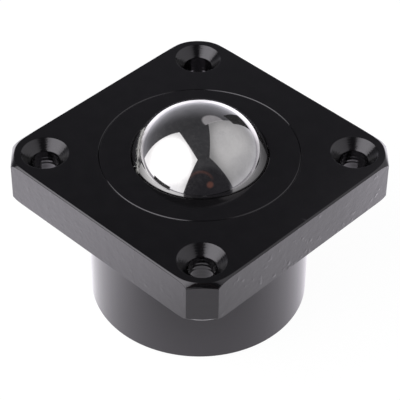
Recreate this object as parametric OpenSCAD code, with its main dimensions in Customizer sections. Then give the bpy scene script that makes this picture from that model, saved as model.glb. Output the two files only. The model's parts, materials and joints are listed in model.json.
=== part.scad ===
// Ball transfer unit with a square screw-on flange.
// A load ball turns in any direction on a bed of small race balls. A turned body with a square flange
// holds the hardened cup that carries them, and a pressed-in cap and a felt ring close the top.
// Frame: origin on the ball's vertical axis at the flange's underside, +Z towards the load ball.

/* [Load ball] */
// Diameter of the load ball
ball_d = 25.4; // [24:0.1:26.4]

/* [Race] */
// Diameter of each race ball
race_ball_d = 3.175; // [2.8:0.005:3.5]
// Running play between a race ball and the load ball, and between it and the cup
race_play = 0.04; // [0.03:0.01:0.08]
// Least free gap between neighbouring race balls of one row
race_gap = 0.25; // [0.1:0.05:0.6]

/* [Load cup] */
// Wall of the cup beside the race, at its rim
cup_wall = 1.885; // [1.4:0.005:3]
// Thickness of the cup under the race
cup_floor = 4; // [3:0.1:6]
// Chamfer around the cup's bottom edge
cup_chamfer = 0.6; // [0.2:0.1:1.5]

/* [Flange] */
// Width of the flange across its flat sides
flange_w = 50.8; // [47:0.1:57]
// Thickness of the flange
flange_t = 8.5; // [7.8:0.1:9.5]
// Depth of each corner's flat, measured inwards from the sharp corner along the diagonal
corner_cut = 2.69; // [1.8:0.01:3.3]
// Height of the turned chamfer on top of each corner, at the middle of the corner's flat
corner_top = 0.77; // [0.4:0.01:1.2]
// Height of the turned chamfer under each corner, at the middle of the corner's flat
corner_bottom = 0.41; // [0.2:0.01:1]
// Angle between the corner chamfers and the vertical axis
corner_angle = 33; // [25:1:45]
// Edge break along the flange's straight edges
edge_break = 0.28; // [0.1:0.01:0.5]

/* [Screw holes] */
// Distance from each screw hole's centre to the flange's two nearest sides
screw_edge = 6.1; // [5.5:0.05:7]
// Diameter of the screw holes, which clear a 4.8 mm (No. 10) screw
screw_hole_d = 5; // [4.8:0.1:5.4]
// Diameter of the 90 degree countersink at the top face
countersink_d = 8.5; // [7.6:0.1:9.2]
// Edge break of the holes at the flange's underside
hole_edge_break = 0.25; // [0.1:0.05:0.4]

/* [Body] */
// Wall of the body around the cup
body_wall = 2.15; // [1.7:0.01:3]
// Height of the round body below the flange
body_h = 23; // [19:0.1:29]
// Chamfer around the body's bottom edge
body_chamfer = 0.4; // [0.1:0.1:1]

/* [Retaining cap] */
// Thickness of the cap's lip above the felt ring
lip_t = 1.2; // [0.9:0.05:1.5]
// Width of the gap between the load ball and the cap's mouth at the top face
mouth_gap = 0.35; // [0.25:0.05:0.7]
// Depth of the 45 degree chamfer around the mouth
mouth_chamfer = 0.2; // [0.1:0.05:0.4]
// Running gap between the load ball and the cap's throat
throat_gap = 0.1; // [0.05:0.01:0.2]
// Chamfers on both sides of the seam between cap and housing
seam_chamfer = 0.13; // [0.05:0.01:0.3]
// Radial clearance of the cup and the cap in the housing, and of the felt ring in the cap
press_gap = 0.01; // [0.005:0.005:0.02]

/* [Wiper ring] */
// Height of the felt ring
wiper_h = 1.2; // [0.8:0.05:1.5]
// Radial width of the felt ring at its widest
wiper_w = 1.3; // [0.8:0.05:1.6]
// Gap between the felt ring and the load ball
wiper_gap = 0.05; // [0.03:0.01:0.1]

/* [Hidden] */

$fn = 96;             // round bodies, bores and revolved forms
race_ball_fn = 24;    // race balls, which repeat many times
over = 1;             // how far a cutter runs past the face that it opens

// Heights down from the top face: the cap's lip, the felt ring under it, then the top row of race
// balls, whose centres lie level with the load ball's centre
ball_r = ball_d / 2;
race_ball_r = race_ball_d / 2;
wiper_top = flange_t - lip_t;
wiper_z = wiper_top - wiper_h;
ball_z = wiper_z - race_play - race_ball_r;

// Load ball and race
row_r = ball_r + race_play + race_ball_r;            // from the ball's centre to the race balls' centres
race_r = row_r + race_ball_r + race_play;            // radius of the cup's race
function ball_section(play, z) = sqrt(pow(ball_r + play, 2) - pow(z - ball_z, 2));

// Cup, bore and body, from the race outwards
cup_r = race_r + cup_wall;
bore_r = cup_r + press_gap;
body_r = bore_r + body_wall;
bore_bottom = ball_z - race_r - cup_floor;

// Flange corners
corner_r = flange_w / sqrt(2) - corner_cut;          // from the axis to each corner's flat
corner_tip_r = norm([corner_r, corner_cut]);         // from the axis to the ends of each corner's flat
corner_run_top = corner_top * tan(corner_angle);     // how far the chamfers reach in from the flat
corner_run_bottom = corner_bottom * tan(corner_angle);
screw_offset = flange_w / 2 - screw_edge;

// Cap and wiper
mouth_r = ball_section(0, flange_t) + mouth_gap;
wiper_r = ball_section(wiper_gap, wiper_z) + wiper_w;
groove_r = wiper_r + press_gap;

// Rows of race balls, one node each: the top row lies on the ball's equator, and the rows share
// the angle down to the pole, where a single ball closes the bed
race_rows = 6;
row_step = 90 / race_rows;
function row_angle(row) = (row - 1) * row_step;
function row_fit(row) =
    floor(180 / asin((race_ball_r + race_gap / 2) / (row_r * cos(row_angle(row)))));
// The top row needs an even number, so that two of its balls lie on one axis
function row_count(row) = row == 1 ? 2 * floor(row_fit(1) / 2) : row_fit(row);

// A square of the flange's width with its four corners cut flat
module flange_plan() {
    intersection() {
        square(flange_w, center = true);
        rotate(45) square(2 * corner_r, center = true);
    }
}

// The flange's section: a plate with its edges broken, wide enough to leave the ends uncut
module broken_plate() {
    half_w = flange_w / 2;
    rotate([90, 0, 0])
        linear_extrude(height = 2 * flange_w, center = true)
            polygon([
                [-half_w + edge_break, 0], [half_w - edge_break, 0],
                [half_w, edge_break], [half_w, flange_t - edge_break],
                [half_w - edge_break, flange_t], [-half_w + edge_break, flange_t],
                [-half_w, flange_t - edge_break], [-half_w, edge_break]
            ]);
}

// The turned envelope that chamfers the four corners, carried outside the corners' tips
module corner_envelope() {
    slope = 1 / tan(corner_angle);
    reach = corner_tip_r - corner_r + over;
    rotate_extrude()
        polygon([
            [0, 0], [corner_r - corner_run_bottom, 0],
            [corner_r + reach, corner_bottom + slope * reach],
            [corner_r + reach, flange_t - corner_top - slope * reach],
            [corner_r - corner_run_top, flange_t], [0, flange_t]
        ]);
}

module flange_plate() {
    intersection() {
        linear_extrude(height = flange_t) flange_plan();
        broken_plate();
        rotate(90) broken_plate();
        corner_envelope();
    }
}

// One countersunk hole through the flange
module screw_hole() {
    sink = (countersink_d - screw_hole_d) / 2;
    translate([0, 0, -over]) cylinder(d = screw_hole_d, h = flange_t + 2 * over);
    translate([0, 0, -over])
        cylinder(d1 = screw_hole_d + 2 * (hole_edge_break + over), d2 = screw_hole_d,
                 h = hole_edge_break + over);
    translate([0, 0, flange_t - sink])
        cylinder(d1 = screw_hole_d, d2 = countersink_d + 2 * over, h = sink + over);
}

// Round body below the flange, with its bottom edge broken
module body_barrel() {
    rotate_extrude()
        polygon([
            [0, -body_h], [body_r - body_chamfer, -body_h], [body_r, -body_h + body_chamfer],
            [body_r, flange_t / 2], [0, flange_t / 2]
        ]);
}

// Blind bore for the cup and the cap, chamfered at its mouth
module cup_bore() {
    rotate_extrude()
        polygon([
            [0, bore_bottom], [bore_r, bore_bottom], [bore_r, flange_t - seam_chamfer],
            [bore_r + seam_chamfer + over, flange_t + over], [0, flange_t + over]
        ]);
}

module housing() {
    color([0.09, 0.09, 0.10])
        difference() {
            union() {
                flange_plate();
                body_barrel();
            }
            cup_bore();
            for (sx = [-1, 1], sy = [-1, 1])
                translate([sx * screw_offset, sy * screw_offset, 0]) screw_hole();
        }
}

// Hardened cup: its rim is level with the load ball's centre
module load_cup() {
    color([0.55, 0.56, 0.58])
        difference() {
            rotate_extrude()
                polygon([
                    [0, bore_bottom], [cup_r - cup_chamfer, bore_bottom],
                    [cup_r, bore_bottom + cup_chamfer], [cup_r, ball_z], [0, ball_z]
                ]);
            translate([0, 0, ball_z]) sphere(r = race_r);
        }
}

// Cap: its land sits on the cup's rim, its pocket clears the top row of race balls, level with the
// felt ring's underside, and its throat follows the ball
module retaining_cap() {
    color([0.10, 0.10, 0.11])
        difference() {
            rotate_extrude()
                polygon([
                    [race_r, ball_z], [cup_r, ball_z], [cup_r, flange_t - seam_chamfer],
                    [cup_r - seam_chamfer, flange_t], [mouth_r, flange_t],
                    [mouth_r - mouth_chamfer, flange_t - mouth_chamfer],
                    [mouth_r - mouth_chamfer - over, wiper_top], [groove_r, wiper_top],
                    [groove_r, wiper_z], [race_r, wiper_z]
                ]);
            translate([0, 0, ball_z]) sphere(r = ball_r + throat_gap);
        }
}

// Felt ring in the cap's groove, hollowed to the ball's own curve
module wiper_ring() {
    color([0.80, 0.78, 0.72])
        difference() {
            translate([0, 0, wiper_z]) cylinder(r = wiper_r, h = wiper_h);
            translate([0, 0, ball_z]) sphere(r = ball_r + wiper_gap);
        }
}

module load_ball() {
    color([0.85, 0.86, 0.88])
        translate([0, 0, ball_z]) sphere(d = ball_d);
}

// One race ball, placed by its angle below the equator and its turn about the vertical axis
module race_ball(down, turn) {
    rotate(turn)
        translate([row_r * cos(down), 0, ball_z - row_r * sin(down)])
            sphere(d = race_ball_d, $fn = race_ball_fn);
}

// One row of race balls. Every second row is turned by half a pitch, and the top row leaves out
// the two balls on the rolling axis
module race_row(row) {
    count = row_count(row);
    pitch = 360 / count;
    start = row % 2 == 0 ? pitch / 2 : 0;
    color([0.72, 0.73, 0.75])
        for (i = [0 : count - 1])
            if (row > 1 || (i != 0 && i != count / 2))
                race_ball(row_angle(row), start + i * pitch);
}

module race_ball_bottom() {
    color([0.72, 0.73, 0.75]) race_ball(90, 0);
}

module roll_axis_balls() {
    color([0.72, 0.73, 0.75])
        for (turn = [0, 180]) race_ball(row_angle(1), turn);
}

housing();
load_cup();
retaining_cap();
wiper_ring();
load_ball();
race_row(1);  // race_row_1
race_row(2);  // race_row_2
race_row(3);  // race_row_3
race_row(4);  // race_row_4
race_row(5);  // race_row_5
race_row(6);  // race_row_6
race_ball_bottom();
roll_axis_balls();
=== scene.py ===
import json
import math

import bpy
import numpy as np
from mathutils import Matrix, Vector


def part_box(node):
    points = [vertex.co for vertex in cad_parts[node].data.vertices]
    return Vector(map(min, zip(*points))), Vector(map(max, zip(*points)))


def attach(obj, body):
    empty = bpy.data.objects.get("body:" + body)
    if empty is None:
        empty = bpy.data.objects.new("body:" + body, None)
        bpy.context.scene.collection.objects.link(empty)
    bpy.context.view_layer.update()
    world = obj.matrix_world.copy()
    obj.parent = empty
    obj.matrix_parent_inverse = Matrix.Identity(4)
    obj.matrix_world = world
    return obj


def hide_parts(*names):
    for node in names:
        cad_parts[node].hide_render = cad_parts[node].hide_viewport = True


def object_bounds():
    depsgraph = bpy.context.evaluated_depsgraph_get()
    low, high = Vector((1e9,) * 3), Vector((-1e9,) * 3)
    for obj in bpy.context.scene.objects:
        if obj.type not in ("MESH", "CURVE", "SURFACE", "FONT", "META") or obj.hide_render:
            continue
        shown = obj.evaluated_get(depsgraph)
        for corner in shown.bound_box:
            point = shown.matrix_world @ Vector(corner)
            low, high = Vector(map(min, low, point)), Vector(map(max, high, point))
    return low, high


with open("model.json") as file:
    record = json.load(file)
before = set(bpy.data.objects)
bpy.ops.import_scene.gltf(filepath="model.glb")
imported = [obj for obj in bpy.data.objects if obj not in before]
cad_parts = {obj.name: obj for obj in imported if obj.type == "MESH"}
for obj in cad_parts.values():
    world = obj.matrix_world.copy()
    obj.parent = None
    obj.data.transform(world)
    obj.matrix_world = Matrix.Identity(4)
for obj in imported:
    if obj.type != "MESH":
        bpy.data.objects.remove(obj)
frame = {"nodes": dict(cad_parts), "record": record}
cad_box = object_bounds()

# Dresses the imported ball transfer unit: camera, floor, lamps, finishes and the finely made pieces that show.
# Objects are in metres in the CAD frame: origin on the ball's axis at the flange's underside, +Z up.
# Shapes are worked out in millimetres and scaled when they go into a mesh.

MM = 0.001


# ---------------------------------------------------------------- sizes, in millimetres

def mount(name):
    """The record's entry for one mount."""
    return next(m for m in frame["record"]["mounts"] if m["name"] == name)


half_w = cad_box[1].x / MM                     # flange, from the axis to a flat side
top_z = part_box("housing")[1].z / MM            # top face
base_z = cad_box[0].z / MM                     # foot of the body
ball_low, ball_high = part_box("load_ball")
ball_z = (ball_low.z + ball_high.z) / 2 / MM
ball_r = (ball_high.x - ball_low.x) / 2 / MM
screw_at = mount("flange_screws")["dims"]["spacing_x_mm"] / 2
screw_r = mount("flange_screws")["dims"]["hole_r_mm"]
body_r = mount("body_spigot")["dims"]["r_mm"]
cup_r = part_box("load_cup")[1].x / MM
cup_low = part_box("load_cup")[0].z / MM

edge_break = 0.28                              # flange's straight edges
corner_r = 33.231                              # axis to each corner's flat
corner_reach = corner_r * math.sqrt(2)         # |x| + |y| on that flat
corner_slope = math.tan(math.radians(33))      # corner chamfers, run over height
corner_top, corner_bottom = 0.77, 0.41         # their heights at the middle of the flat
sink_r, hole_break = 4.25, 0.25                # countersink at the top face, edge break under the flange
sink_low = top_z - (sink_r - screw_r)          # where the countersink meets the hole
body_chamfer = 0.4
seam = 0.13                                    # chamfers on both sides of the seam round the cap
press_gap = 0.01                               # between pressed pieces
bore_r = cup_r + press_gap
lip_t, mouth_gap, mouth_chamfer, throat_gap = 1.2, 0.35, 0.19, 0.1
wiper_h, wiper_w, wiper_gap = 1.2, 1.3, 0.05
race_r = 15.955                                # hemispherical race of the cup


# ---------------------------------------------------------------- directions and camera

CAMERA_AZIMUTH, CAMERA_ELEVATION, CAMERA_ROLL = (math.radians(a) for a in (43.874, 41.930, 0.627))
RIGHT = np.array([math.cos(CAMERA_AZIMUTH), math.sin(CAMERA_AZIMUTH), 0.0])       # level, to the camera's right
TOWARDS = np.array([math.sin(CAMERA_AZIMUTH), -math.cos(CAMERA_AZIMUTH), 0.0])    # level, towards the camera
UP = np.array([0, 0, 1.0])


def heading(azimuth, elevation=0.0):
    """Unit vector from two angles in degrees; azimuth 0 is towards the camera and 90 to its right."""
    a, e = math.radians(azimuth), math.radians(elevation)
    return (TOWARDS * math.cos(a) + RIGHT * math.sin(a)) * math.cos(e) + UP * math.sin(e)


def turned(x_axis, y_axis, z_axis, place):
    """Placement matrix from three axes and a point."""
    made = np.eye(4)
    made[:3, :3] = np.stack([x_axis, y_axis, z_axis], 1)
    made[:3, 3] = place
    return Matrix(made.tolist())


def make_camera():
    """The camera looks along -back; the shifts are in millimetres along its right and its rise."""
    distance, right_shift, up_shift = 314.30, 0.102, -8.360
    focal_length, frame_width, sensor = 1782.1, 400.0, 36.0    # the first two in the same unit
    back = TOWARDS * math.cos(CAMERA_ELEVATION) + UP * math.sin(CAMERA_ELEVATION)
    rise = np.cross(back, RIGHT)
    right = RIGHT * math.cos(CAMERA_ROLL) + rise * math.sin(CAMERA_ROLL)
    up = rise * math.cos(CAMERA_ROLL) - RIGHT * math.sin(CAMERA_ROLL)
    place = (back * distance + RIGHT * right_shift + rise * up_shift + UP * top_z) * MM
    data = bpy.data.cameras.new("camera")
    data.sensor_width, data.lens = sensor, focal_length * sensor / frame_width
    data.clip_start, data.clip_end = 0.01, 20.0
    camera = bpy.data.objects.new("camera", data)
    camera.matrix_world = turned(right, up, back, place)
    bpy.context.scene.collection.objects.link(camera)
    bpy.context.scene.camera = camera


# ---------------------------------------------------------------- surfaces

def sheet(points, wrap=False):
    """A grid of points (rows, columns, 3) and its four-sided faces, which face along column step x row step."""
    rows, cols = points.shape[:2]
    index = np.arange(rows * cols).reshape(rows, cols)
    if wrap:
        index = np.concatenate([index, index[:, :1]], 1)
    faces = np.stack([index[:-1, :-1], index[:-1, 1:], index[1:, 1:], index[1:, :-1]], -1).reshape(-1, 4)
    return points.reshape(-1, 3), faces


def mirrored(parts):
    """The parts of one quarter carried to all four by changing the signs of x and y."""
    made = []
    for sx, sy in ((1, 1), (-1, 1), (-1, -1), (1, -1)):
        made += [(p * (sx, sy, 1), f[:, ::-1] if sx * sy < 0 else f) for p, f in parts]
    return made


def soften(outline, radius, steps=4, loop=False, hold=2.5):
    """An outline of (r, z) points with its corners rounded: start (1-t)^2 + corner 2t(1-t) + end t^2, where start and
    end lie a radius from the corner, and a holding point beyond each end keeps the flats flat."""
    p = np.asarray(outline, float)
    before, corner, after = (np.roll(p, 1, 0), p, np.roll(p, -1, 0)) if loop else (p[:-2], p[1:-1], p[2:])
    back, ahead = (q / np.linalg.norm(q, axis=1, keepdims=True) for q in (before - corner, after - corner))
    r = np.broadcast_to(radius, len(corner))[:, None]
    t = np.linspace(0, 1, steps + 1)[None, :, None]
    start, end = corner + back * r, corner + ahead * r
    curve = (1 - t) ** 2 * start[:, None] + 2 * t * (1 - t) * corner[:, None] + t ** 2 * end[:, None]
    rows = np.concatenate([(corner + back * r * hold)[:, None], curve, (corner + ahead * r * hold)[:, None]], 1)
    rows = rows.reshape(-1, 2)
    return np.concatenate([rows, rows[:1]]) if loop else np.concatenate([p[:1], rows, p[-1:]])


def revolved(outline, turn, centre=(0, 0)):
    """Points (r cos a + cx, r sin a + cy, z) of an (r, z) outline carried round at the angles in turn."""
    r, z = np.asarray(outline, float).T
    return np.stack([centre[0] + r[:, None] * np.cos(turn), centre[1] + r[:, None] * np.sin(turn),
                     np.broadcast_to(z[:, None], (len(r), len(turn)))], -1)


def full_turn(count):
    """Angles of a whole turn, without the repeated last one."""
    return np.linspace(0, 2 * np.pi, count, endpoint=False)


def weld(parts, grain=1e-6):
    """One point list and face lists from many sheets; points that agree to the grain become one."""
    starts = np.cumsum([0] + [len(p) for p, _ in parts[:-1]])
    points = np.concatenate([p for p, _ in parts])
    faces = np.concatenate([f + s for (_, f), s in zip(parts, starts)])
    cells = np.round(points / grain).astype(np.int64)
    _, first, same = np.unique(cells, axis=0, return_index=True, return_inverse=True)
    points, faces = points[first], same.reshape(-1)[faces]
    repeat = faces == np.roll(faces, -1, 1)
    quads = faces[repeat.sum(1) == 0]
    bent, at = faces[repeat.sum(1) == 1], np.argmax(repeat[repeat.sum(1) == 1], 1)
    keep = (at[:, None] + np.array([1, 2, 3])) % 4
    return points, quads, np.take_along_axis(bent, keep, 1)


def linked_mesh(name, points, faces, material):
    """A new object with one material, in the scene."""
    mesh = bpy.data.meshes.new(name)
    mesh.from_pydata(points, [], faces)
    mesh.materials.append(material)
    made = bpy.data.objects.new(name, mesh)
    bpy.context.scene.collection.objects.link(made)
    return made


def make_piece(name, parts, material, body, slot, *replaced):
    """A smooth mesh from welded sheets that rides on a body and stands for CAD nodes."""
    points, quads, thirds = weld(parts)
    made = linked_mesh(name, (points * MM).tolist(), quads.tolist() + thirds.tolist(), material)
    made.data.polygons.foreach_set("use_smooth", np.ones(len(made.data.polygons), bool))
    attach(made, body)
    if replaced:
        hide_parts(*replaced)


# ---------------------------------------------------------------- housing

def soft_step(x, softness):
    """softness ln(1 + exp(x / softness)): nothing well below zero, x well above, with a smooth turn between."""
    return softness * np.logaddexp(0, x / softness)


def flange_outline():
    """One quarter of the flange's plan, from the x axis round the corner's flat to the y axis: y runs up the side with
    closer steps towards the flat's end, the flat is a straight line, and the rest is its mirror image in x = y."""
    flat_end = corner_reach - half_w
    wide_steps_to, hold, last = 12.5, 0.2, 0.04
    y = np.concatenate([np.linspace(0, wide_steps_to, 9)[:-1],
                        np.linspace(wide_steps_to, flat_end - hold, 42), [flat_end - last]])
    side = np.stack([np.full(len(y), half_w), y], 1)
    t = np.concatenate([[0, 0.007], np.linspace(0.045, 0.5, 9)])[:, None]    # 0.5 is the middle of the flat
    flat = np.array([half_w, flat_end]) * (1 - t) + np.array([flat_end, half_w]) * t
    half = np.concatenate([side, flat])
    return np.concatenate([half, half[-2::-1, ::-1]])


def flange_rims(side):
    """For each point of the plan at distance r: the top and bottom faces' outlines on the same ray, each the nearer of
    the broken straight edge and the corner chamfer's circle with a worn turn between them, and the chamfers' heights.
    The turn is tighter at the middle of the flat."""
    r = np.linalg.norm(side, axis=1)
    ray = side / r[:, None]
    straight = (half_w - edge_break) / ray.max(1)
    tighter_within, tight, sunk = 0.08, 0.67, 0.22    # radians, share of the spread there, share taken off the height
    from_diagonal = np.abs(np.arctan2(side[:, 1], side[:, 0]) - np.pi / 4)
    loose = np.clip(from_diagonal / tighter_within, 0, 1)
    made = []
    for height, wear, spread in ((corner_top, 0.8, 0.55), (corner_bottom, 0.75, 0.5)):
        circle = corner_r - height * corner_slope
        rim = straight - soft_step(straight - circle, wear)
        soft = spread * (tight + (1 - tight) * loose)
        cone = (r - circle) / corner_slope - sunk * spread
        made.append((ray * rim[:, None], edge_break + soft_step(cone - edge_break, soft)))
    return made


def chamfer(low, sharp, high, weight=0.12, rows=13):
    """A nearly flat chamfer that turns over softly at both ends: for each column, the points
    (low (1-t)^2 + sharp 2wt(1-t) + high t^2) over the same sum of weights."""
    t = (0.5 - 0.5 * np.cos(np.linspace(0, np.pi, rows)))[:, None, None]
    a, b, c = (1 - t) ** 2, 2 * weight * t * (1 - t), t ** 2
    return (a * low + b * sharp + c * high) / (a + b + c)


def at_height(plan, z):
    """Plan points (x, y) with one height, or a height each, as (x, y, z)."""
    return np.concatenate([plan, np.broadcast_to(np.asarray(z, float).reshape(-1, 1), (len(plan), 1))], 1)


def housing_sheets():
    """The housing as sheets of one quarter and their mirror images. Round each screw hole one ring map runs from the
    top face's outline in to the countersink, down the hole and out over the underside. Its columns are straight lines
    from the hole to the quarter's outline. Under the flange that outline passes the body at
    (body_r + body_clear) / cos(lean), which leaves the circle near the axes, so that every line clears the body. The
    hole's wall has shallow drill ridges, r = screw_r + ridge_h (1 - cos(2 pi depth / ridge_pitch)). The flange's rim,
    the bore and the body close it."""
    columns, gap_columns, ridge_rows = 49, 7, 48
    body_clear, seam_clear = 0.6, 0.12        # from the body and the seam's chamfer to the outlines of the ring maps
    lean_within = 0.29                        # radians from the axes
    ridge_h, ridge_pitch = 0.007, 0.8
    face_flat, wall_flat = 0.3, 0.4           # flats beside the hole's corners, which keep their places
    round_at_face, round_in_hole = 0.04, 0.05
    side = flange_outline()
    (top_rim, top_drop), (low_rim, low_rise) = flange_rims(side)
    turn = np.linspace(0, np.pi / 2, columns)
    arc = np.stack([np.cos(turn), np.sin(turn)], 1)

    def ring(rim, inner):
        gap = np.linspace(0, 1, gap_columns)[1:-1, None]
        down = rim[-1] * (1 - gap) + inner[-1] * gap
        out = inner[0] * (1 - gap) + rim[0] * gap
        return np.concatenate([rim, down, inner[::-1], out])

    lean = np.clip(lean_within - np.minimum(turn, np.pi / 2 - turn), 0, None)
    round_body = arc * ((body_r + body_clear) / np.cos(lean))[:, None]
    round_seam = arc * (bore_r + seam + seam_clear)
    top_ring, low_ring = ring(top_rim, round_seam), ring(low_rim, round_body)
    hole = np.array([screw_at, screw_at])
    aim = top_ring - hole
    turn_at = np.arctan2(aim[:, 1], aim[:, 0])
    mouth = soften([(sink_r + face_flat, top_z), (sink_r, top_z), (screw_r, sink_low), (screw_r, sink_low - wall_flat)],
                   (round_at_face, round_in_hole))
    z = np.linspace(sink_low - wall_flat - 0.05, hole_break + 0.3, ridge_rows)
    ridges = np.stack([screw_r + ridge_h * (1 - np.cos(2 * np.pi * (z[0] - z) / ridge_pitch)), z], 1)
    foot = soften([(screw_r, hole_break + 0.25), (screw_r, hole_break), (screw_r + hole_break, 0), (screw_r + 0.6, 0)],
                  (0.03, 0.03))
    down = revolved(np.concatenate([mouth, ridges, foot]), turn_at, hole)
    rows = np.array([0, 0.02, 0.3, 0.65, 0.9])[:, None, None]            # shares of the way to the hole
    top = at_height(top_ring, top_z)[None] * (1 - rows) + down[:1] * rows
    low = down[-1:] * rows[::-1] + at_height(low_ring, 0)[None] * (1 - rows[::-1])
    plate = sheet(np.concatenate([top, down, low]), wrap=True)

    up = np.array([0.001, 0.02, 0.35, 0.65, 0.98, 0.999])[:, None, None]    # shares of the way up the rim
    low_side, high_side = at_height(side, low_rise), at_height(side, top_z - top_drop)
    low_bevel = chamfer(low_side, at_height(side, 0), at_height(low_rim, 0))[::-1]
    top_bevel = chamfer(high_side, at_height(side, top_z), at_height(top_rim, top_z))
    wall = low_side[None] * (1 - up) + high_side[None] * up
    rim = sheet(np.concatenate([low_bevel, wall, top_bevel]))

    cup_bore = soften([(bore_r + seam + seam_clear, top_z), (bore_r + seam, top_z), (bore_r, top_z - seam),
                       (bore_r, cup_low), (0, cup_low)], (0.03, 0.03, 0.1))
    body = soften([(0, base_z), (body_r - body_chamfer, base_z), (body_r, base_z + body_chamfer), (body_r, 0),
                   (body_r + 0.5, 0)], (0.06, 0.06, 0.15))
    body_rows = np.concatenate([revolved(body, turn), at_height(round_body, 0)[None]])
    return mirrored([plate, rim, sheet(revolved(cup_bore, turn)), sheet(body_rows)])


# ---------------------------------------------------------------- cap, ball and felt

def cap_sheets(around=384, edge=0.03):
    """The retaining cap: its section, with softened edges, carried round the axis."""
    def ball_width(play, z):
        return math.sqrt((ball_r + play) ** 2 - (z - ball_z) ** 2)

    mouth_r = ball_width(0, top_z) + mouth_gap
    groove_top = top_z - lip_t
    groove_low = groove_top - wiper_h
    groove_r = ball_width(wiper_gap, groove_low) + wiper_w + press_gap
    lip_z = top_z - mouth_chamfer
    section = [(race_r, ball_z), (cup_r, ball_z), (cup_r, top_z - seam), (cup_r - seam, top_z), (mouth_r, top_z),
               (ball_width(throat_gap, lip_z), lip_z), (ball_width(throat_gap, groove_top), groove_top),
               (groove_r, groove_top), (groove_r, groove_low), (race_r, groove_low)]
    return [sheet(revolved(soften(section, edge, loop=True), full_turn(around)), wrap=True)]


def ball_sheets(around=256, down=128):
    """The load ball: ball_r times (sin a cos b, sin a sin b, -cos a), with a from pole to pole and b round the axis."""
    a = np.linspace(0, np.pi, down + 1)
    half_circle = np.stack([ball_r * np.sin(a), ball_z - ball_r * np.cos(a)], 1)
    return [sheet(revolved(half_circle, full_turn(around)), wrap=True)]


def felt_fuzz(seed=5, count=200):
    """A wisp of loose felt fibres that comes out of the gap and climbs the ball. Each is a thin tube round the path
    ball centre + (ball_r + lift) (cos e cos a, cos e sin a, sin e); a and e run along the wisp with the fibre's own
    sway. The tube's radius is thick times sin(pi t) to the power 0.4, so it closes at both ends."""
    clump_count, path_points, tube_sides = 26, 13, 6
    wisp_from, wisp_turn = 64, 35                                 # degrees to the left of the camera's side
    wisp_shares, wisp_rises = (0, 0.18, 0.41, 0.71, 1), (19.5, 27, 32, 35, 38)    # degrees over the ball's centre
    beside, swaying, curling = 0.018, 0.035, 0.012                # spread of each, in radians
    rng = np.random.default_rng(seed)
    clumps = rng.uniform(0, 1, clump_count)
    start = np.clip(rng.choice(clumps, count) + rng.normal(0, 0.015, count), 0, 1)
    start[::4] = rng.uniform(0, 1, len(start[::4]))
    t = np.linspace(0, 1, path_points)
    long = rng.gamma(2.0, 0.03, count).clip(0.02, 0.16)
    share = start[:, None] + long[:, None] * (t - 0.3) * rng.choice([-1, 1], count)[:, None]
    camera_side = math.atan2(TOWARDS[1], TOWARDS[0])
    spread = rng.normal(0, beside, (2, count, 1)) * (0.6 + 0.4 * share)
    sway = rng.normal(0, swaying, (2, count, 1)) * t ** 1.5
    curl = rng.normal(0, curling, (2, count, 1)) * np.sin(rng.uniform(2, 8, (2, count, 1)) * t) * t
    off = spread + sway + curl
    turn = camera_side - np.radians(wisp_from + wisp_turn * share) + off[0]
    up = np.radians(np.interp(share, wisp_shares, wisp_rises)) + off[1]
    thick = rng.uniform(0.010, 0.025, count)
    lift = 0.06 + rng.gamma(1.5, 0.05, count)[:, None] * (0.3 + t)
    aim = np.stack([np.cos(up) * np.cos(turn), np.cos(up) * np.sin(turn), np.sin(up)], -1)
    path = (ball_r + lift)[..., None] * aim
    path[..., 2] += ball_z
    along = np.gradient(path, axis=1)
    along /= np.linalg.norm(along, axis=-1, keepdims=True)
    side = np.cross(along, path - np.array([0, 0, ball_z]))
    side /= np.linalg.norm(side, axis=-1, keepdims=True)
    out = np.cross(along, side)
    width = thick[:, None] * np.sin(np.pi * t).clip(0) ** 0.4
    angle = full_turn(tube_sides)
    rings = (path[:, :, None] + width[:, :, None, None] * (side[:, :, None] * np.cos(angle)[:, None]
                                                           + out[:, :, None] * np.sin(angle)[:, None]))
    return [sheet(ring, wrap=True) for ring in rings]


# ---------------------------------------------------------------- material nodes

def new_material(name):
    mat = bpy.data.materials.new(name)
    mat.use_nodes = True
    tree = mat.node_tree
    tree.nodes.clear()
    return mat, tree


def node(tree, kind, inputs=(), **settings):
    """A new node with its settings and inputs; an input is a value or another node's output socket."""
    made = tree.nodes.new(kind)
    for key, value in settings.items():
        setattr(made, key, value)
    for key, value in dict(inputs).items():
        if isinstance(value, bpy.types.NodeSocket):
            tree.links.new(value, made.inputs[key])
        else:
            made.inputs[key].default_value = value
    return made


def calc(tree, operation, *values):
    """One step of arithmetic on sockets or numbers."""
    return node(tree, "ShaderNodeMath", dict(enumerate(values)), operation=operation).outputs[0]


def total(tree, *parts):
    """Sum of sockets and numbers."""
    made = parts[0]
    for part in parts[1:]:
        made = calc(tree, "ADD", made, part)
    return made


def scaled_by(tree, value, *factors):
    """Product of a value and its factors."""
    for factor in factors:
        value = calc(tree, "MULTIPLY", value, factor)
    return value


def length(tree, *parts):
    """Square root of the sum of squares."""
    return calc(tree, "SQRT", total(tree, *(calc(tree, "MULTIPLY", v, v) for v in parts)))


def scaled(tree, vector, factor):
    """The vector times one factor."""
    return node(tree, "ShaderNodeVectorMath", {0: vector, 3: factor}, operation="SCALE").outputs[0]


def stretched(tree, vector, x, y, z):
    """The vector times a factor along each axis."""
    return node(tree, "ShaderNodeVectorMath", {0: vector, 1: (x, y, z)}, operation="MULTIPLY").outputs[0]


def dot(tree, vector, direction):
    """The vector's share along a direction."""
    made = node(tree, "ShaderNodeVectorMath", {0: vector, 1: tuple(direction)}, operation="DOT_PRODUCT")
    return made.outputs["Value"]


def between(tree, value, low, high, from_low=0.0, to_high=1.0):
    """from_low below the first limit, to_high above the second, and a smooth change between."""
    return node(tree, "ShaderNodeMapRange", {"Value": value, "From Min": low, "From Max": high, "To Min": from_low,
                                             "To Max": to_high}, interpolation_type="SMOOTHSTEP").outputs[0]


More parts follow.
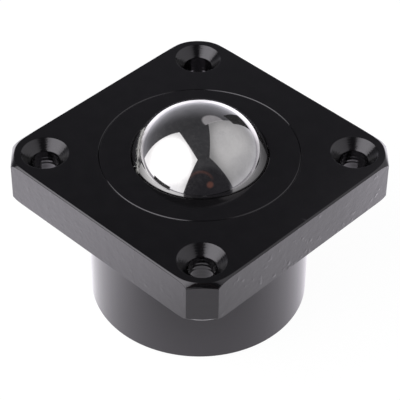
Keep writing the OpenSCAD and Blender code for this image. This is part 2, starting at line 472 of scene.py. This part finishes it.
def band(tree, value, low, high, edge):
    """1 between two limits and 0 outside them."""
    return calc(tree, "MULTIPLY", between(tree, value, low - edge, low + edge),
                between(tree, value, high - edge, high + edge, 1.0, 0.0))


def in_mm(tree):
    """The object's own coordinates in millimetres."""
    return scaled(tree, node(tree, "ShaderNodeTexCoord").outputs["Object"], 1 / MM)


def noise(tree, place, scale, detail=2.0, rough=0.5, output=0):
    """Smooth noise about 0.5; the scale is in waves for each unit of the place."""
    return node(tree, "ShaderNodeTexNoise", {"Vector": place, "Scale": scale, "Detail": detail,
                                             "Roughness": rough}).outputs[output]


def ring_noise(tree, radius, per_mm, detail):
    """Noise that changes with the radius alone, so that it makes rings."""
    along = node(tree, "ShaderNodeCombineXYZ", {0: calc(tree, "MULTIPLY", radius, per_mm), 1: 0.0, 2: 0.0}).outputs[0]
    return noise(tree, along, 1.0, detail)


def mixed_colour(tree, share, first, second):
    """The first colour where the share is 0 and the second where it is 1."""
    return node(tree, "ShaderNodeMix", {0: share, 6: first, 7: second}, data_type="RGBA").outputs[2]


def mixed_shader(tree, share, first, second):
    return node(tree, "ShaderNodeMixShader", {0: share, 1: first, 2: second}).outputs[0]


def added_shader(tree, first, second):
    return node(tree, "ShaderNodeAddShader", {0: first, 1: second}).outputs[0]


def diffuse(tree, grey):
    return node(tree, "ShaderNodeBsdfDiffuse", {"Color": (grey, grey, grey, 1)}).outputs[0]


def bump(tree, height_mm):
    """Surface directions of a relief."""
    return node(tree, "ShaderNodeBump", {"Strength": 1.0, "Distance": MM, "Height": height_mm}).outputs[0]


# ---------------------------------------------------------------- finishes

def black_finish():
    """Black finish on machined steel: turned rings in the countersinks, a turned body, a cap with its face cut in
    rings, and ripples and small pits on the flange's sides. Widths and heights of marks are in millimetres."""
    ring_pitch, ring_h, score_h = 0.31, 0.0035, 0.022
    body_h, ripple_h, pit_h, face_h, fine_h = 0.0016, 0.05, 0.055, 0.0006, 0.0004
    pit_wide, pit_bend, y_side_pits = 0.4, 1.3, 0.35               # the last: share of pits on the sides across y
    black, worn_black, dust = (0.0034, 0.0032, 0.0037, 1), (0.0050, 0.0047, 0.0053, 1), (0.16, 0.16, 0.15, 1)
    mat, tree = new_material("black_finish")
    place = in_mm(tree)
    x, y, z = node(tree, "ShaderNodeSeparateXYZ", {0: place}).outputs
    wide_x, wide_y = calc(tree, "ABSOLUTE", x), calc(tree, "ABSOLUTE", y)
    wide_sum = total(tree, wide_x, wide_y)
    hole_r = length(tree, *(calc(tree, "SUBTRACT", v, screw_at) for v in (wide_x, wide_y)))
    axis_r = length(tree, x, y)
    uneven = noise(tree, place, 0.35, 3.0)
    fine = noise(tree, place, 9.0, 3.0)

    # countersinks: rings that waver a little, and scores
    in_sink = calc(tree, "MULTIPLY", between(tree, hole_r, sink_r - 0.05, sink_r + 0.01, 1.0, 0.0),
                   between(tree, z, sink_low, sink_low + 0.15))
    waver = calc(tree, "ADD", hole_r, scaled_by(tree, noise(tree, place, 0.8), 0.25))
    sink_rings = calc(tree, "SINE", calc(tree, "MULTIPLY", waver, 2 * math.pi / ring_pitch))
    sink_scores = ring_noise(tree, waver, 9.0, 3.0)
    sink_height = scaled_by(tree, total(tree, scaled_by(tree, sink_rings, ring_h),
                                        scaled_by(tree, sink_scores, score_h)), in_sink)

    # body: fine turned lines
    on_body = between(tree, z, -0.3, -0.1, 1.0, 0.0)
    body_height = scaled_by(tree, noise(tree, stretched(tree, place, 0.04, 0.04, 14.0), 1.0, 3.0), on_body, body_h)

    # flange's sides: ripples, which cross the corner flats too, and pits, which stay off them
    corner_side = scaled_by(tree, wide_sum, half_w / corner_reach)
    side_reach = calc(tree, "MAXIMUM", calc(tree, "MAXIMUM", wide_x, wide_y), corner_side)
    on_side = calc(tree, "MULTIPLY", between(tree, side_reach, half_w - 0.06, half_w - 0.03),
                   between(tree, z, -0.02, 0.1))
    off_corner = between(tree, wide_sum, corner_reach - 0.6, corner_reach - 0.1, 1.0, 0.0)
    ripple = noise(tree, place, 0.55, 3.0, 0.6)
    bend = scaled(tree, noise(tree, place, 1.3, output="Color"), pit_bend)
    bent = node(tree, "ShaderNodeVectorMath", {0: place, 1: bend}, operation="ADD").outputs[0]
    to_pit = node(tree, "ShaderNodeTexVoronoi", {"Vector": bent, "Scale": 0.62}, feature="F1").outputs["Distance"]
    pit = calc(tree, "MULTIPLY", between(tree, to_pit, 0.0, pit_wide, 1.0, 0.0), between(tree, uneven, 0.44, 0.56))
    fewer_on_y = between(tree, wide_y, half_w - 0.06, half_w - 0.03, 1.0, y_side_pits)
    pit = scaled_by(tree, pit, off_corner, fewer_on_y)
    side_height = scaled_by(tree, total(tree, scaled_by(tree, ripple, ripple_h), scaled_by(tree, pit, pit_h)), on_side)

    # cap: fine rings on its face
    inside_seam = between(tree, axis_r, bore_r - 0.1, bore_r, 1.0, 0.0)
    at_top = between(tree, z, top_z - 0.1, top_z - 0.05)
    face_height = scaled_by(tree, ring_noise(tree, axis_r, 5.0, 2.0), inside_seam, at_top, face_h)
    height = total(tree, sink_height, body_height, side_height, face_height, scaled_by(tree, fine, fine_h))

    # a few specks of dust, none in the countersinks, and pits a little paler
    cells = node(tree, "ShaderNodeTexVoronoi", {"Vector": place, "Scale": 0.35}, feature="F1")
    draw = node(tree, "ShaderNodeSeparateColor", {0: cells.outputs["Color"]}).outputs[0]
    speck = calc(tree, "MULTIPLY", between(tree, draw, 0.90, 0.91),
                 between(tree, cells.outputs["Distance"], 0.02, 0.045, 1.0, 0.0))
    speck = calc(tree, "MULTIPLY", speck, between(tree, hole_r, sink_r, sink_r + 0.2))
    speck = calc(tree, "MAXIMUM", speck, scaled_by(tree, between(tree, pit, 0.6, 1.0), on_side, 0.05))
    colour = mixed_colour(tree, speck, mixed_colour(tree, between(tree, uneven, 0.3, 0.75), black, worn_black), dust)
    rough = total(tree, between(tree, fine, 0.3, 0.8, 0.09, 0.13), scaled_by(tree, on_body, 0.05),
                  scaled_by(tree, in_sink, 0.04), scaled_by(tree, on_side, 0.05))
    shader = node(tree, "ShaderNodeBsdfPrincipled", {"Base Color": colour, "Roughness": rough, "IOR": 1.6,
                                                     "Specular Tint": (0.97, 0.935, 1.0, 1),
                                                     "Normal": bump(tree, height)})
    node(tree, "ShaderNodeOutputMaterial", {"Surface": shader.outputs[0]})
    return mat


def bright_steel(name, colour, dull_colour, smooth, dull, smudge_scale, scratch_h):
    """Polished or ground steel: smudges change its brightness and its gloss, fine scratches cross it, and a thin film
    dims it here and there."""
    mat, tree = new_material(name)
    place = in_mm(tree)
    smudge = between(tree, noise(tree, place, smudge_scale, 4.0, 0.6), 0.35, 0.7)
    scratches = noise(tree, stretched(tree, place, 0.5, 6.0, 3.0), 2.0)
    tint = mixed_colour(tree, smudge, colour, dull_colour)
    bare = node(tree, "ShaderNodeBsdfPrincipled", {"Base Color": tint, "Metallic": 1.0,
                                                   "Roughness": between(tree, smudge, 0.0, 1.0, smooth, dull),
                                                   "Normal": bump(tree, scaled_by(tree, scratches, scratch_h))})
    film = node(tree, "ShaderNodeBsdfPrincipled", {"Base Color": tint, "Metallic": 1.0, "Roughness": 0.5})
    film_share = between(tree, noise(tree, place, 1.7, 4.0, 0.7), 0.4, 0.75, 0.015, 0.07)
    marked = mixed_shader(tree, film_share, bare.outputs[0], film.outputs[0])
    node(tree, "ShaderNodeOutputMaterial", {"Surface": marked})
    return mat


def felt(fibre_h=0.08):
    """Pale wool felt: fibres in every direction raise a fuzzy surface."""
    mat, tree = new_material("felt")
    grey_wool, pale_wool = (0.50, 0.49, 0.47, 1), (0.80, 0.79, 0.77, 1)
    fibres = noise(tree, stretched(tree, in_mm(tree), 3.0, 9.0, 5.0), 2.0, 4.0, 0.7)
    tint = mixed_colour(tree, between(tree, fibres, 0.35, 0.65), grey_wool, pale_wool)
    shader = node(tree, "ShaderNodeBsdfPrincipled", {"Base Color": tint, "Roughness": 0.95, "Sheen Weight": 0.3,
                                                     "Normal": bump(tree, scaled_by(tree, fibres, fibre_h))})
    node(tree, "ShaderNodeOutputMaterial", {"Surface": shader.outputs[0]})
    return mat


# ---------------------------------------------------------------- stage

def floor_material():
    """White floor. The camera sees it white with a faint shadow. Mirror-like surfaces see it white as well, with a glow
    of
    painted lamp light: brighter at the sides, painted shade in front, where the camera stands, weaker far off at the
    sides, and a painted dark reflection farther in front. From below it can be seen through. Distances are in
    millimetres from the axis."""
    # the first two make the evenly white floor that the camera sees; the last grey is the painted dark reflection far
    # in front
    camera_white, camera_grey, plain_grey, painted_dark_grey = 0.96, 0.07, 0.8, 0.03
    left_gain, right_gain, front_loss, side_loss = 0.36, 0.6, 0.8, 0.7
    mat, tree = new_material("floor")
    ray = node(tree, "ShaderNodeLightPath").outputs
    place = in_mm(tree)
    ahead, across = (dot(tree, place, v) for v in (TOWARDS, RIGHT))
    out = length(tree, ahead, across)

    # painted lamp light on the floor, seen only in reflections: brighter towards the left and right panels, with
    # painted shade in front, where the camera stands
    left = between(tree, across, -60, -5, left_gain, 0.0)
    right = calc(tree, "MULTIPLY", between(tree, across, 5, 45, 0.0, right_gain),
                 between(tree, ahead, -10, 10, 1.0, 0.0))
    front = calc(tree, "MULTIPLY", between(tree, ahead, 0, 40),
                 between(tree, calc(tree, "ABSOLUTE", across), 15, 60, 1.0, 0.0))
    painted_light_near = calc(tree, "SUBTRACT", total(tree, left, right, 1.0), scaled_by(tree, front, front_loss))
    # the painted lamp light weakens far off at the sides
    behind = calc(tree, "DIVIDE", ahead, calc(tree, "MAXIMUM", out, 1.0))
    far_loss = calc(tree, "MULTIPLY", between(tree, out, 100, 250),
                    between(tree, behind, -0.93, -0.6, 0.0, side_loss))
    painted_floor_light = calc(tree, "MULTIPLY", painted_light_near, calc(tree, "SUBTRACT", 1.0, far_loss))
    # a painted dark reflection of the camera's side, farther in front
    slant = calc(tree, "DIVIDE", across, calc(tree, "MAXIMUM", ahead, 1.0))
    painted_dark_front = calc(tree, "MULTIPLY", band(tree, slant, -0.45, 1.15, 0.12), between(tree, ahead, 80, 160))

    plain = diffuse(tree, plain_grey)
    # glossy rays see the plain floor plus this glow of painted lamp light, and the painted dark patch far in front
    glow = node(tree, "ShaderNodeEmission", {"Color": (1, 0.962, 1.04, 1), "Strength": painted_floor_light}).outputs[0]
    in_mirror = mixed_shader(tree, painted_dark_front, added_shader(tree, plain, glow), diffuse(tree, painted_dark_grey))
    white = node(tree, "ShaderNodeEmission", {"Color": (1, 1, 1, 1), "Strength": camera_white}).outputs[0]
    to_camera = added_shader(tree, white, diffuse(tree, camera_grey))
    pick = mixed_shader(tree, ray["Is Glossy Ray"], plain, in_mirror)
    pick = mixed_shader(tree, ray["Is Camera Ray"], pick, to_camera)
    from_below = node(tree, "ShaderNodeNewGeometry").outputs["Backfacing"]
    pick = mixed_shader(tree, from_below, pick, node(tree, "ShaderNodeBsdfTransparent").outputs[0])
    node(tree, "ShaderNodeOutputMaterial", {"Surface": pick})
    return mat


def make_floor(half=3.0, below_foot=0.03):
    """The floor lies a hair under the foot, so that the two don't share a plane."""
    z = cad_box[0].z - below_foot * MM
    corners = [(-half, -half, z), (half, -half, z), (half, half, z), (-half, half, z)]
    linked_mesh("floor", corners, [(0, 1, 2, 3)], floor_material())


def soft_panel(name, azimuth, width, low, high, radiance):
    """A soft light panel that faces the object: azimuth from the camera's side, and (distance, height) of its lower and
    upper edges. It is a little weaker towards its corners. Returns the direction square to the plane through the ball's
    centre and the panel's edge of greater azimuth, away from the panel."""
    away = heading(azimuth)
    side = np.cross(UP, away)
    bottom, top = (away * d + UP * h for d, h in (low, high))
    rise = top - bottom
    height = np.linalg.norm(rise)
    rise /= height
    lamp = bpy.data.lights.new(name, "AREA")
    lamp.shape, lamp.size, lamp.size_y = "RECTANGLE", width, height
    lamp.energy = radiance * math.pi * width * height
    lamp.use_nodes = True
    tree = lamp.node_tree
    tree.nodes.clear()
    across = node(tree, "ShaderNodeNewGeometry").outputs["Parametric"]
    off_middle = node(tree, "ShaderNodeVectorMath", {0: across, 1: (0.5, 0.5, 0.0)}, operation="DISTANCE")
    glow = node(tree, "ShaderNodeEmission",
                {"Strength": between(tree, off_middle.outputs["Value"], 0.15, 0.62, 1.12, 0.5)})
    node(tree, "ShaderNodeOutputLight", {"Surface": glow.outputs[0]})
    holder = bpy.data.objects.new(name, lamp)
    back = np.cross(side, rise)
    if back @ away < 0:
        side, back = -side, -back
    holder.matrix_world = turned(side, rise, back, (bottom + top) / 2)
    holder.visible_camera = False
    bpy.context.scene.collection.objects.link(holder)
    edge = np.cross(*(corner + side * width / 2 - UP * ball_z * MM for corner in (top, bottom)))
    return edge / np.linalg.norm(edge)


def make_card(name, azimuth, distance, width, low, high, grey=0.05):
    """A dark upright card that faces the object: azimuth from the camera's side, heights over the floor."""
    away = heading(azimuth)
    side = np.cross(UP, away) * width / 2
    foot = away * distance + UP * cad_box[0].z
    corners = [tuple(foot + side * s + UP * h) for s, h in ((-1, low), (1, low), (1, high), (-1, high))]
    mat, tree = new_material(name)
    node(tree, "ShaderNodeOutputMaterial", {"Surface": diffuse(tree, grey)})
    card = linked_mesh(name, corners, [(0, 1, 2, 3)], mat)
    card.visible_camera = False


def make_world(panel_edge):
    """The room round the stage, for each ray: white at the horizon and grey above, dimmer away from the back, with one
    pale spot that ends at a panel's edge, and dark where the camera stands, with a warm arc and a warm dot."""
    white_to_grey = [(0.0, 1.0), (0.06, 0.85), (0.13, 0.58), (0.22, 0.39), (0.42, 0.25), (0.64, 0.18), (0.87, 0.15),
                     (1.0, 0.17)]    # (sine of the elevation, brightness)
    cool, pale, dark, warm = (0.98, 0.98, 1.07), (0.46, 0.45, 0.47, 1), (0.028, 0.027, 0.032, 1), (0.17, 0.075, 0.06, 1)
    dim_share, arc_share = 0.38, 0.55
    world = bpy.data.worlds.new("studio")
    world.use_nodes = True
    tree = world.node_tree
    tree.nodes.clear()
    ray = node(tree, "ShaderNodeTexCoord").outputs["Generated"]
    height = node(tree, "ShaderNodeSeparateXYZ", {0: ray}).outputs["Z"]

    def nearness(azimuth, elevation=0.0):
        """Cosine of the angle between the ray and one heading."""
        return dot(tree, ray, heading(azimuth, elevation))

    def cosines(*angles):
        """Cosines of angles in degrees."""
        return (math.cos(math.radians(a)) for a in angles)

    ramp = node(tree, "ShaderNodeValToRGB", {0: height})
    ends = ramp.color_ramp.elements
    for element, (position, value) in zip(ends, (white_to_grey[0], white_to_grey[-1])):
        element.position, element.color = position, (value,) * 3 + (1,)
    for position, value in white_to_grey[1:-1]:
        ends.new(position).color = (value,) * 3 + (1,)
    dimmer_aside = between(tree, nearness(180), 0.6, 0.95, dim_share, 1.0)
    sky = scaled(tree, stretched(tree, ramp.outputs[0], *cool), dimmer_aside)
    spot = calc(tree, "MULTIPLY", between(tree, nearness(156, 49), *cosines(15, 12)),
                between(tree, dot(tree, ray, panel_edge), -0.004, 0.004))
    sky = mixed_colour(tree, spot, sky, pale)
    sky = mixed_colour(tree, between(tree, nearness(12, 5), 0.72, 0.84), sky, dark)
    arc = band(tree, nearness(2, 18), *cosines(21.5, 18), 0.012)
    arc = scaled_by(tree, arc, between(tree, height, 0.3, 0.62), arc_share)
    glint = calc(tree, "MAXIMUM", arc, between(tree, nearness(17, 16), 0.993, 0.9995))
    room = node(tree, "ShaderNodeBackground", {"Color": mixed_colour(tree, glint, sky, warm), "Strength": 1.0})
    white = node(tree, "ShaderNodeBackground", {"Color": (1, 1, 1, 1), "Strength": 1.0})
    to_camera = node(tree, "ShaderNodeLightPath").outputs["Is Camera Ray"]
    node(tree, "ShaderNodeOutputWorld",
         {"Surface": mixed_shader(tree, to_camera, room.outputs[0], white.outputs[0])})
    bpy.context.scene.world = world


# ---------------------------------------------------------------- making it

make_camera()
make_floor()
soft_panel("left_panel", -65, width=1.0, low=(0.575, 0.01), high=(0.307, 0.89), radiance=2.65)
right_panel_edge = soft_panel("right_panel", 95, width=1.0, low=(0.526, 0.01), high=(0.218, 0.87), radiance=0.68)
make_card("low_card", -60, distance=0.45, width=0.24, low=0.015, high=0.055)
make_card("tall_card", 148, distance=0.6, width=0.16, low=0.045, high=0.34)
make_world(right_panel_edge)

black = black_finish()
steel = bright_steel("load_ball_steel", (0.55, 0.538, 0.538, 1), (0.47, 0.462, 0.466, 1), smooth=0.02, dull=0.06,
                     smudge_scale=0.22, scratch_h=0.0001)
race_steel = bright_steel("race_ball_steel", (0.72, 0.72, 0.73, 1), (0.62, 0.62, 0.64, 1), smooth=0.06, dull=0.14,
                          smudge_scale=0.8, scratch_h=0.0003)
cup_steel = bright_steel("hardened_steel", (0.47, 0.48, 0.50, 1), (0.38, 0.38, 0.40, 1), smooth=0.22, dull=0.38,
                         smudge_scale=0.5, scratch_h=0.002)
wool = felt()
finishes = {"housing": black, "retaining_cap": black, "load_cup": cup_steel, "load_ball": steel, "wiper_ring": wool}
for name, made in frame["nodes"].items():
    made.data.materials.clear()
    made.data.materials.append(finishes.get(name, race_steel))    # the rest are race balls

make_piece("flanged_housing", housing_sheets(), black, "housing", "black_finish", "housing")
make_piece("mouth_cap", cap_sheets(), black, "housing", "black_finish", "retaining_cap")
make_piece("felt_fuzz", felt_fuzz(), wool, "housing", "felt")
make_piece("big_ball", ball_sheets(), steel, "load_ball", "load_ball_steel", "load_ball")

# ---------------------------------------------------------------- look

bpy.context.scene.view_settings.view_transform = "Standard"
